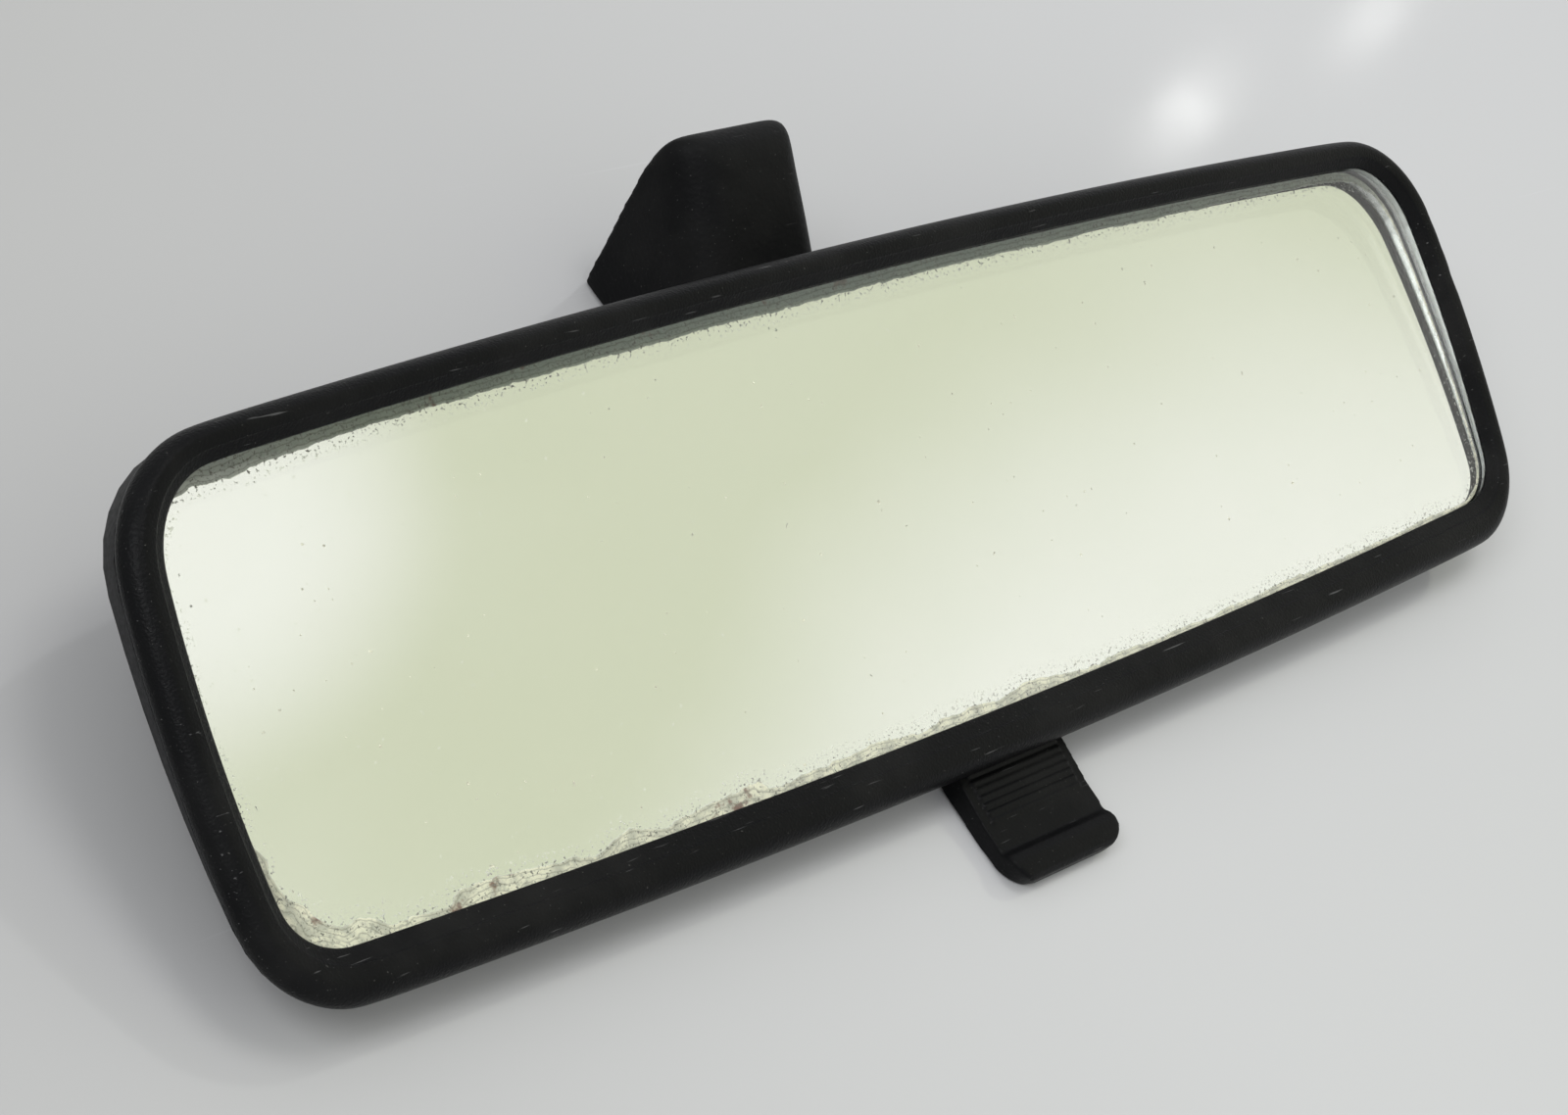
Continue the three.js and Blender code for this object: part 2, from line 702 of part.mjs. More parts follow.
// ---------------------------------------------------------------- foot
const crownDepth = 18.5;
const crownRadius = 4.3;
const crownSteps = 8;
const mountTop = [21.4, hoodFoot + 17.8];
const mountHeel = [39.0, hoodFoot + 6.4];
const mountSlope = Math.atan2(mountTop[1] - mountHeel[1], mountHeel[0] - mountTop[0]);
const mountMiddle = [(mountTop[0] + mountHeel[0]) / 2, (mountTop[1] + mountHeel[1]) / 2];
const mountLength = Math.hypot(mountTop[0] - mountHeel[0], mountTop[1] - mountHeel[1]);

// Places a piece whose flat outer face is at its own y = 0, with +y out of the mounting face.
function onMount(geometry) {
  geometry.rotateX(Math.PI / 2 - mountSlope);
  return geometry.translate(0, mountMiddle[0], mountMiddle[1]);
}

const recessWidth = 16;
const recessLength = 14;
const recessDepth = 4.6;

function recessBox(width, length, from, to) {
  return new THREE.BoxGeometry(width, to - from, length).translate(0, (from + to) / 2, 0);
}

// The hood's plan, with round corners, extruded along the lean of its front face and narrowing
// towards its top.
function hoodPlan() {
  const halfX = hoodWidth / 2;
  const plan = new THREE.Shape();
  plan.absarc(halfX - hoodRound, hoodRound, hoodRound, -Math.PI / 2, 0);
  plan.absarc(halfX - heelRound, hoodLength - heelRound, heelRound, 0, Math.PI / 2);
  plan.absarc(heelRound - halfX, hoodLength - heelRound, heelRound, Math.PI / 2, Math.PI);
  plan.absarc(hoodRound - halfX, hoodRound, hoodRound, Math.PI, Math.PI * 1.5);
  const settings = { depth: 1.5 * farOut, bevelEnabled: false, curveSegments: 6 };
  const geometry = new THREE.ExtrudeGeometry(plan, settings);
  const [footDepth, footHeight] = hoodFrontFoot;
  const lean = Math.atan2(footDepth - hoodFrontTop[0], hoodFrontTop[1] - footHeight);
  geometry.translate(0, 0, -farOut / 2);
  const places = geometry.getAttribute("position");
  for (let index = 0; index < places.count; index += 1) {
    places.setX(index, places.getX(index) * (1 - hoodTaper * places.getZ(index)));
  }
  geometry.rotateX(lean);
  return geometry.translate(0, footDepth, footHeight);
}

// The roll between the front face and the mounting face, from the front over the top.
function crownRoll() {
  const [frontDepth, frontHeight] = hoodFrontTop;
  const start = Math.PI + Math.atan2(hoodFrontFoot[0] - frontDepth, frontHeight - hoodFrontFoot[1]);
  const end = Math.PI / 2 - mountSlope;
  const normal = [Math.cos(end), Math.sin(end)];
  const reach = (mountTop[0] - crownDepth) * normal[0];
  const centreHeight = mountTop[1] - (crownRadius - reach) / normal[1];
  const points = [];
  for (let step = 0; step <= crownSteps; step += 1) {
    const angle = start + ((end - start) * step) / crownSteps;
    points.push([
      crownDepth + crownRadius * Math.cos(angle),
      centreHeight + crownRadius * Math.sin(angle),
    ]);
  }
  return points;
}

function footHood() {
  const profile = [
    hoodFrontFoot,
    ...crownRoll(),
    mountHeel,
    [37.2, hoodFoot + 2.7],
    [34.6, hoodFoot - 0.5],
    [30, hoodFoot - 1.3],
  ].reverse();
  const hood = solid(sideProfile(profile, hoodWidth)).intersect(solid(hoodPlan()));
  const armTopDepth = 28.3;
  const path = new THREE.CubicBezierCurve3(
    new THREE.Vector3(0, ...along(armStart)),
    new THREE.Vector3(0, ...along(armStart + 6)),
    new THREE.Vector3(0, armTopDepth, hoodFoot - 6.4),
    new THREE.Vector3(0, armTopDepth, hoodFoot + 6.1),
  );
  const section = new THREE.Shape();
  section.absellipse(0, 0, armRadius, armRadius + 0.8, 0, Math.PI * 2);
  const arm = solid(new THREE.ExtrudeGeometry(section, {
    steps: 14, bevelEnabled: false, extrudePath: path, curveSegments: 8,
  }));
  const boreRadius = ballNeckRadius + fitGap;
  const boreLength = 12;
  const shankBore = new THREE.CylinderGeometry(boreRadius, boreRadius, boreLength, 20);
  inSocket(shankBore.translate(0, armStart + shankLength + 0.5 - boreLength / 2, 0));
  const recess = onMount(recessBox(recessWidth, recessLength, -recessDepth, 4));
  return geometryOf(cut(join(hood, arm), solid(shankBore), solid(recess)));
}

const plateTop = 0.2;
const mountShankRadius = 0.9;
const mountHeadRadius = 1.7;
const mountHeadDepth = 1.1;
const plateBack = plateTop - mountPlateThickness;
const mountScrewPlaces = [-1, 1].map((side) => side * 5.2);

function mountBore(radius, from, x) {
  const bore = new THREE.CylinderGeometry(radius + fitGap, radius + fitGap, farOut, 16);
  return solid(onMount(bore.translate(x, from + farOut / 2, 0)));
}

function mountPlate() {
  const width = recessWidth - 2 * fitGap;
  const length = recessLength - 2 * fitGap;
  const plate = solid(onMount(recessBox(width, length, plateBack, plateTop)));
  const bores = mountScrewPlaces.map((x) => mountBore(mountShankRadius, -farOut / 2, x));
  const headRooms = mountScrewPlaces.map((x) =>
    mountBore(mountHeadRadius, plateTop - mountHeadDepth - fitGap, x));
  return geometryOf(cut(plate, ...bores, ...headRooms));
}

function mountScrew(x) {
  const profile = [
    [0, -recessDepth + fitGap],
    [mountShankRadius, -recessDepth + fitGap],
    [mountShankRadius, plateTop - mountHeadDepth],
    [mountHeadRadius, plateTop - mountHeadDepth],
    [mountHeadRadius, plateTop - 0.4],
    [mountHeadRadius - 0.3, plateTop - 0.1],
    [0, plateTop - 0.1],
  ].map(([radius, height]) => new THREE.Vector2(radius, height));
  return onMount(new THREE.LatheGeometry(profile, 14).translate(x, 0, 0));
}

function mountSpring() {
  const width = 5.2;
  const length = recessLength - 2 * fitGap - 1;
  const front = fitGap - recessDepth;
  return onMount(recessBox(width, length, front, front + 0.6));
}

// ---------------------------------------------------------------- assembly
// The head turns back until the heel of the foot and the end of the lever are level.
const leverHeel = tip(leverThickness / 2, leverHeelRise);
const restAngle = Math.atan2(mountHeel[0] - leverHeel[0], mountHeel[1] - leverHeel[1]) - Math.PI / 2;
const head = new THREE.Group();
head.rotation.x = restAngle;
const part = new THREE.Group();
part.add(head);

function add(name, geometry, material) {
  const mesh = new THREE.Mesh(geometry, material);
  mesh.name = name;
  head.add(mesh);
}

add("bezel_rim", bezelRim(), blackSatin);
add("rear_shell", rearShell(), blackGrain);
add("mirror_glass", mirrorGlass(), glassMaterial);
add("silver_backing", silverBacking(), silver);
padPlaces.forEach((x, index) => add(`glass_pad_${index + 1}`, glassPad(x), foam));
add("carrier_bracket", carrierBracket(), darkSteel);
add("clamp_plate", clampPlate(), steel);
clampScrewPlaces.forEach((x, index) => add(`clamp_screw_${index + 1}`, clampScrew(x), darkSteel));
add("socket_cup_rear", sphereZone(cupInner, cupOuter, 56, 79), nylon);
add("socket_cup_front", sphereZone(cupInner, cupOuter, 98, 150), nylon);
add("ball_stud", ballStud(), steel);
add("tilt_pin", tiltPin(), steel);
tiltStops.forEach((place, index) => add(`tilt_stop_${index + 1}`, tiltStop(place), rubber));
add("day_night_lever", dayNightLever(), blackSatin);
add("lever_pin", leverPin(), steel);
add("detent_spring", detentSpring(), steel);
add("foot_arm", footHood(), blackGrain);
add("mount_plate", mountPlate(), darkSteel);
mountScrewPlaces.forEach((x, index) => add(`mount_screw_${index + 1}`, mountScrew(x), steel));
add("mount_spring", mountSpring(), steel);

// The origin is under the middle of the part, on the surface that it lies on.
part.updateMatrixWorld(true);
const box = new THREE.Box3().setFromObject(part, true);
head.position.set(-(box.min.x + box.max.x) / 2, -(box.min.y + box.max.y) / 2, -box.min.z);

export default part;
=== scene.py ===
import json
import math
import random

import bpy
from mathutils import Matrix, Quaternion, Vector

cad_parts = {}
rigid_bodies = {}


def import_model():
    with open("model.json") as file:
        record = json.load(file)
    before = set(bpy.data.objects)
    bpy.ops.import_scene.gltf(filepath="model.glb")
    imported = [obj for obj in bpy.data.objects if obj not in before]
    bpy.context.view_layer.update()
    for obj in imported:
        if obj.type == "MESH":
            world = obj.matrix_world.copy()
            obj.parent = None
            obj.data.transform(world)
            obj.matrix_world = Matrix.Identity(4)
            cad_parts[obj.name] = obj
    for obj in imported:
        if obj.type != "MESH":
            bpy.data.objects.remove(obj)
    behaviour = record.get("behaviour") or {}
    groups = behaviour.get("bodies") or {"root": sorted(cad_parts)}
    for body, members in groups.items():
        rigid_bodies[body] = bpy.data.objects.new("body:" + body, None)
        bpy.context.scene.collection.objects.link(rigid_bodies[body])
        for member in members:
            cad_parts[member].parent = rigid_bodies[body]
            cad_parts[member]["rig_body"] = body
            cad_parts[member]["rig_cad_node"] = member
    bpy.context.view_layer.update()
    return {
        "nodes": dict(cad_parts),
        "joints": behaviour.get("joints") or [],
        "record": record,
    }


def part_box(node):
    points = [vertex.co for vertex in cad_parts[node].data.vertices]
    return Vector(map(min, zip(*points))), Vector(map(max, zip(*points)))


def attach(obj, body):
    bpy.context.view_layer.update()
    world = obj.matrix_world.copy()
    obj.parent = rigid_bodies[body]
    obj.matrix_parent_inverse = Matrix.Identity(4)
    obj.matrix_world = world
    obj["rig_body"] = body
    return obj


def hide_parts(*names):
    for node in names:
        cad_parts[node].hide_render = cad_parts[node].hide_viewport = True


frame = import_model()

joints = {joint["name"]: joint for joint in frame["joints"]}
print("stage: frame loaded,", len(frame["nodes"]), "nodes")

# The head leans back on the floor. Its own axes are the ball's yaw and roll axes.
headUp = Vector(joints["ball_yaw"]["axis"]).normalized()
headBack = Vector(joints["ball_roll"]["axis"]).normalized()


def spanAlong(nodeName, axis):
    places = [vertex.co.dot(axis) for vertex in frame["nodes"][nodeName].data.vertices]
    return min(places), max(places)


rimLow, rimHigh = spanAlong("bezel_rim", headUp)
rimFront = spanAlong("bezel_rim", headBack)[0]
rimMiddle = (rimLow + rimHigh) / 2
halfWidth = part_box("bezel_rim")[1].x
halfHeight = (rimHigh - rimLow) / 2


# Height on the head, from the rim's middle.
def riseOf(place):
    return place.dot(headUp) - rimMiddle


# How far a place is behind the rim's crest.
def depthOf(place):
    return place.dot(headBack) - rimFront


def addNode(tree, kind, inputs=None, **settings):
    node = tree.nodes.new(kind)
    for name, value in settings.items():
        setattr(node, name, value)
    for name, value in (inputs or {}).items():
        feed(tree, node.inputs[name], value)
    return node


# Links a socket to another, or sets it to a plain value.
def feed(tree, socket, value):
    if isinstance(value, bpy.types.NodeSocket):
        tree.links.new(value, socket)
    else:
        socket.default_value = value


def mathNode(tree, operation, *inputs):
    return addNode(tree, "ShaderNodeMath", dict(enumerate(inputs)), operation=operation).outputs[0]


def times(tree, first, second):
    return mathNode(tree, "MULTIPLY", first, second)


def plus(tree, first, second):
    return mathNode(tree, "ADD", first, second)


def minus(tree, first, second):
    return mathNode(tree, "SUBTRACT", first, second)


def timesPlus(tree, first, factor, addend):
    return mathNode(tree, "MULTIPLY_ADD", first, factor, addend)


def smoothMask(tree, value, low, high):
    mask = addNode(tree, "ShaderNodeMapRange",
                   {"Value": value, "From Min": low, "From Max": high},
                   interpolation_type="SMOOTHSTEP")
    return mask.outputs["Result"]


def mixColour(tree, factor, first, second):
    mix = addNode(tree, "ShaderNodeMix", {0: factor, 6: first, 7: second}, data_type="RGBA")
    return mix.outputs[2]


def noiseValue(tree, vector, scale, detail, roughness):
    noise = addNode(tree, "ShaderNodeTexNoise",
                    {"Vector": vector, "Scale": scale, "Detail": detail, "Roughness": roughness})
    return noise.outputs[0]


# Noise given by its scale, detail and roughness, cut to a mask between two of its values.
def noiseMask(tree, vector, noise, edges):
    return smoothMask(tree, noiseValue(tree, vector, *noise), *edges)


def newGroup(name, inputs, outputs):
    group = bpy.data.node_groups.new(name, "ShaderNodeTree")
    for label, kind, value in inputs:
        socket = group.interface.new_socket(label, in_out="INPUT", socket_type=kind)
        if value is not None:
            socket.default_value = value
    for label, kind in outputs:
        group.interface.new_socket(label, in_out="OUTPUT", socket_type=kind)
    start = group.nodes.new("NodeGroupInput")
    end = group.nodes.new("NodeGroupOutput")
    return group, start.outputs, end.inputs


def rgba(red, green, blue):
    return (red, green, blue, 1.0)


# Grained plastic with a film of dust, specks and fine scratches.
def makeMouldedGrain():
    values = {"fine": (2.0, 0.6), "fineRoughness": 0.24, "roughnessShift": -0.08,
              "cellScale": 0.8, "cellHeight": 0.6,
              "broad": (55.0, 4.0, 0.6), "broadEdges": (0.42, 0.7), "broadRoughness": 0.10,
              "speck": (3400.0, 1.0, 0.4), "speckEdges": (0.74, 0.82), "film": 0.10,
              "rubTurn": (0.0, 0.0, 0.5), "rubScale": (120.0, 2400.0, 2400.0),
              "rub": (1.0, 2.0, 0.5), "rubEdges": (0.70, 0.76), "rubShare": 0.5,
              "rubPolish": 0.15, "rubDepth": 0.8,
              "dustColour": (0.22, 0.215, 0.20), "wornColour": (0.16, 0.16, 0.16)}
    group, given, out = newGroup(
        "mouldedGrain",
        [("Vector", "NodeSocketVector", None), ("Grain Scale", "NodeSocketFloat", 2400.0),
         ("Colour", "NodeSocketColor", rgba(0.02, 0.02, 0.02)), ("Roughness", "NodeSocketFloat", 0.45),
         ("Dust", "NodeSocketFloat", 0.3), ("Wear", "NodeSocketFloat", 0.3)],
        [("Colour", "NodeSocketColor"), ("Roughness", "NodeSocketFloat"), ("Height", "NodeSocketFloat")])
    place = given["Vector"]
    fine = noiseValue(group, place, given["Grain Scale"], *values["fine"])
    cells = addNode(group, "ShaderNodeTexVoronoi",
                    {"Vector": place, "Scale": times(group, given["Grain Scale"], values["cellScale"])})
    height = plus(group, fine, times(group, cells.outputs["Distance"], values["cellHeight"]))
    patch = noiseMask(group, place, values["broad"], values["broadEdges"])
    specks = noiseMask(group, place, values["speck"], values["speckEdges"])
    dust = times(group, specks, given["Dust"])
    film = times(group, patch, times(group, given["Dust"], values["film"]))
    rubbed = addNode(group, "ShaderNodeMapping",
                     {"Vector": place, "Rotation": values["rubTurn"], "Scale": values["rubScale"]})
    hairline = noiseMask(group, rubbed.outputs[0], values["rub"], values["rubEdges"])
    scratch = times(group, hairline, times(group, given["Wear"], values["rubShare"]))
    dusty = mixColour(group, plus(group, dust, film), given["Colour"], rgba(*values["dustColour"]))
    worn = mixColour(group, scratch, dusty, rgba(*values["wornColour"]))
    group.links.new(worn, out["Colour"])
    rough = plus(group, given["Roughness"], times(group, patch, values["broadRoughness"]))
    rough = plus(group, rough, timesPlus(group, fine, values["fineRoughness"], values["roughnessShift"]))
    rough = minus(group, rough, times(group, scratch, values["rubPolish"]))
    group.links.new(rough, out["Roughness"])
    group.links.new(minus(group, height, times(group, scratch, values["rubDepth"])), out["Height"])
    return group


# Metal with drawn streaks and patches of tarnish.
def makeMachinedMetal():
    values = {"streakScale": (300.0, 3200.0, 3200.0), "streak": (1.0, 3.0, 0.6), "streakMiddle": 0.5,
              "stain": (260.0, 4.0, 0.6), "stainEdges": (0.45, 0.75),
              "stainColour": (0.20, 0.17, 0.13), "stainRoughness": 0.4}
    group, given, out = newGroup(
        "machinedMetal",
        [("Vector", "NodeSocketVector", None), ("Colour", "NodeSocketColor", rgba(0.5, 0.5, 0.5)),
         ("Roughness", "NodeSocketFloat", 0.35), ("Streak", "NodeSocketFloat", 0.4),
         ("Tarnish", "NodeSocketFloat", 0.3)],
        [("Colour", "NodeSocketColor"), ("Roughness", "NodeSocketFloat"), ("Height", "NodeSocketFloat")])
    stretched = addNode(group, "ShaderNodeMapping",
                        {"Vector": given["Vector"], "Scale": values["streakScale"]})
    streaks = noiseValue(group, stretched.outputs[0], *values["streak"])
    stains = noiseMask(group, given["Vector"], values["stain"], values["stainEdges"])
    tarnish = times(group, stains, given["Tarnish"])
    group.links.new(mixColour(group, tarnish, given["Colour"], rgba(*values["stainColour"])), out["Colour"])
    rough = plus(group, given["Roughness"], times(group, tarnish, values["stainRoughness"]))
    spread = times(group, minus(group, streaks, values["streakMiddle"]), given["Streak"])
    group.links.new(plus(group, rough, spread), out["Roughness"])
    group.links.new(streaks, out["Height"])
    return group


mouldedGrain = makeMouldedGrain()
machinedMetal = makeMachinedMetal()


def startMaterial(name):
    material = bpy.data.materials.new(name)
    material.use_nodes = True
    tree = material.node_tree
    shader = tree.nodes["Principled BSDF"]
    place = addNode(tree, "ShaderNodeTexCoord").outputs["Object"]
    return material, tree, shader, place


grainDepth = 0.0001
streakDepth = 0.00005
usualSpecular = 0.5


# A material whose colour, roughness and relief come from one of the two groups.
def groupMaterial(name, group, given, bumpStrength, bumpDistance):
    material, tree, shader, place = startMaterial(name)
    effect = addNode(tree, "ShaderNodeGroup", node_tree=group)
    tree.links.new(place, effect.inputs["Vector"])
    for label, value in given.items():
        effect.inputs[label].default_value = value
    bump = addNode(tree, "ShaderNodeBump", {"Strength": bumpStrength, "Distance": bumpDistance,
                                            "Height": effect.outputs["Height"]})
    tree.links.new(effect.outputs["Colour"], shader.inputs["Base Color"])
    tree.links.new(effect.outputs["Roughness"], shader.inputs["Roughness"])
    tree.links.new(bump.outputs[0], shader.inputs["Normal"])
    return material, shader


def plasticMaterial(name, values):
    given = {"Colour": rgba(*values["colour"]), "Grain Scale": values["grainScale"],
             "Roughness": values["roughness"], "Dust": values["dust"], "Wear": values["wear"]}
    material, shader = groupMaterial(name, mouldedGrain, given, values["bump"], grainDepth)
    shader.inputs["Specular IOR Level"].default_value = values.get("specular", usualSpecular)
    return material


def metalMaterial(name, values):
    given = {"Colour": rgba(*values["colour"]), "Roughness": values["roughness"],
             "Streak": values["streak"], "Tarnish": values["tarnish"]}
    material, shader = groupMaterial(name, machinedMetal, given, values["bump"], streakDepth)
    shader.inputs["Metallic"].default_value = 1.0
    return material


rimPlastic = plasticMaterial("rimPlastic", {
    "colour": (0.004, 0.0042, 0.0046), "grainScale": 3300.0, "roughness": 0.34, "specular": 0.085,
    "dust": 0.30, "wear": 1.0, "bump": 0.6})
shellPlastic = plasticMaterial("shellPlastic", {
    "colour": (0.008, 0.0083, 0.009), "grainScale": 1500.0, "roughness": 0.50, "specular": 0.11,
    "dust": 0.28, "wear": 0.35, "bump": 0.5})
footPlastic = plasticMaterial("footPlastic", {
    "colour": (0.004, 0.0042, 0.0046), "grainScale": 1900.0, "roughness": 0.45, "specular": 0.085,
    "dust": 0.26, "wear": 0.3, "bump": 0.4})
leverPlastic = plasticMaterial("leverPlastic", {
    "colour": (0.004, 0.0042, 0.0046), "grainScale": 2300.0, "roughness": 0.38, "specular": 0.09,
    "dust": 0.3, "wear": 0.6, "bump": 0.28})
naturalNylon = plasticMaterial("naturalNylon", {
    "colour": (0.62, 0.59, 0.50), "grainScale": 1200.0, "roughness": 0.42,
    "dust": 0.1, "wear": 0.2, "bump": 0.15})
stopRubber = plasticMaterial("stopRubber", {
    "colour": (0.02, 0.02, 0.02), "grainScale": 1600.0, "roughness": 0.78,
    "dust": 0.3, "wear": 0.0, "bump": 0.3})
padFoam = plasticMaterial("padFoam", {
    "colour": (0.035, 0.035, 0.037), "grainScale": 900.0, "roughness": 0.9,
    "dust": 0.15, "wear": 0.0, "bump": 1.0})
dieCasting = metalMaterial("dieCasting", {
    "colour": (0.36, 0.37, 0.38), "roughness": 0.48, "streak": 0.2, "tarnish": 0.35, "bump": 0.3})
zincSteel = metalMaterial("zincSteel", {
    "colour": (0.56, 0.56, 0.52), "roughness": 0.34, "streak": 0.35, "tarnish": 0.30, "bump": 0.2})
brightSteel = metalMaterial("brightSteel", {
    "colour": (0.58, 0.58, 0.60), "roughness": 0.22, "streak": 0.3, "tarnish": 0.15, "bump": 0.12})
springSteel = metalMaterial("springSteel", {
    "colour": (0.22, 0.22, 0.25), "roughness": 0.30, "streak": 0.3, "tarnish": 0.2, "bump": 0.15})


# Clear glass with a ground edge, marked by groundEdge on its faces. Light passes through to the floor.
def glassMaterial():
    values = {"tint": (0.965, 0.99, 0.968), "smearTint": (0.98, 0.995, 0.98), "smear": (90.0, 4.0, 0.6),
              "roughness": 0.004, "ior": 1.52, "groundTint": (0.42, 0.54, 0.45), "groundRoughness": 0.5,
              "fleck": (1500.0, 1.0, 0.3), "fleckEdges": (0.76, 0.80), "fleckRoughness": 0.25,
              "shadowTint": (0.94, 0.97, 0.94)}
    material, tree, shader, place = startMaterial("wedgeGlass")
    smear = noiseValue(tree, place, *values["smear"])
    fleck = noiseMask(tree, place, values["fleck"], values["fleckEdges"])
    rough = plus(tree, values["roughness"], times(tree, fleck, values["fleckRoughness"]))
    face = mixColour(tree, smear, rgba(*values["tint"]), rgba(*values["smearTint"]))
    ground = addNode(tree, "ShaderNodeAttribute", attribute_name="groundEdge").outputs["Fac"]
    tree.links.new(mixColour(tree, ground, face, rgba(*values["groundTint"])), shader.inputs["Base Color"])
    tree.links.new(timesPlus(tree, ground, values["groundRoughness"], rough), shader.inputs["Roughness"])
    shader.inputs["Transmission Weight"].default_value = 1.0
    shader.inputs["IOR"].default_value = values["ior"]
    clear = addNode(tree, "ShaderNodeBsdfTransparent", {"Color": rgba(*values["shadowTint"])})
    rays = addNode(tree, "ShaderNodeLightPath")
    mix = addNode(tree, "ShaderNodeMixShader", {0: rays.outputs["Is Shadow Ray"]})
    tree.links.new(shader.outputs[0], mix.inputs[1])
    tree.links.new(clear.outputs[0], mix.inputs[2])
    tree.links.new(mix.outputs[0], tree.nodes["Material Output"].inputs["Surface"])
    return material


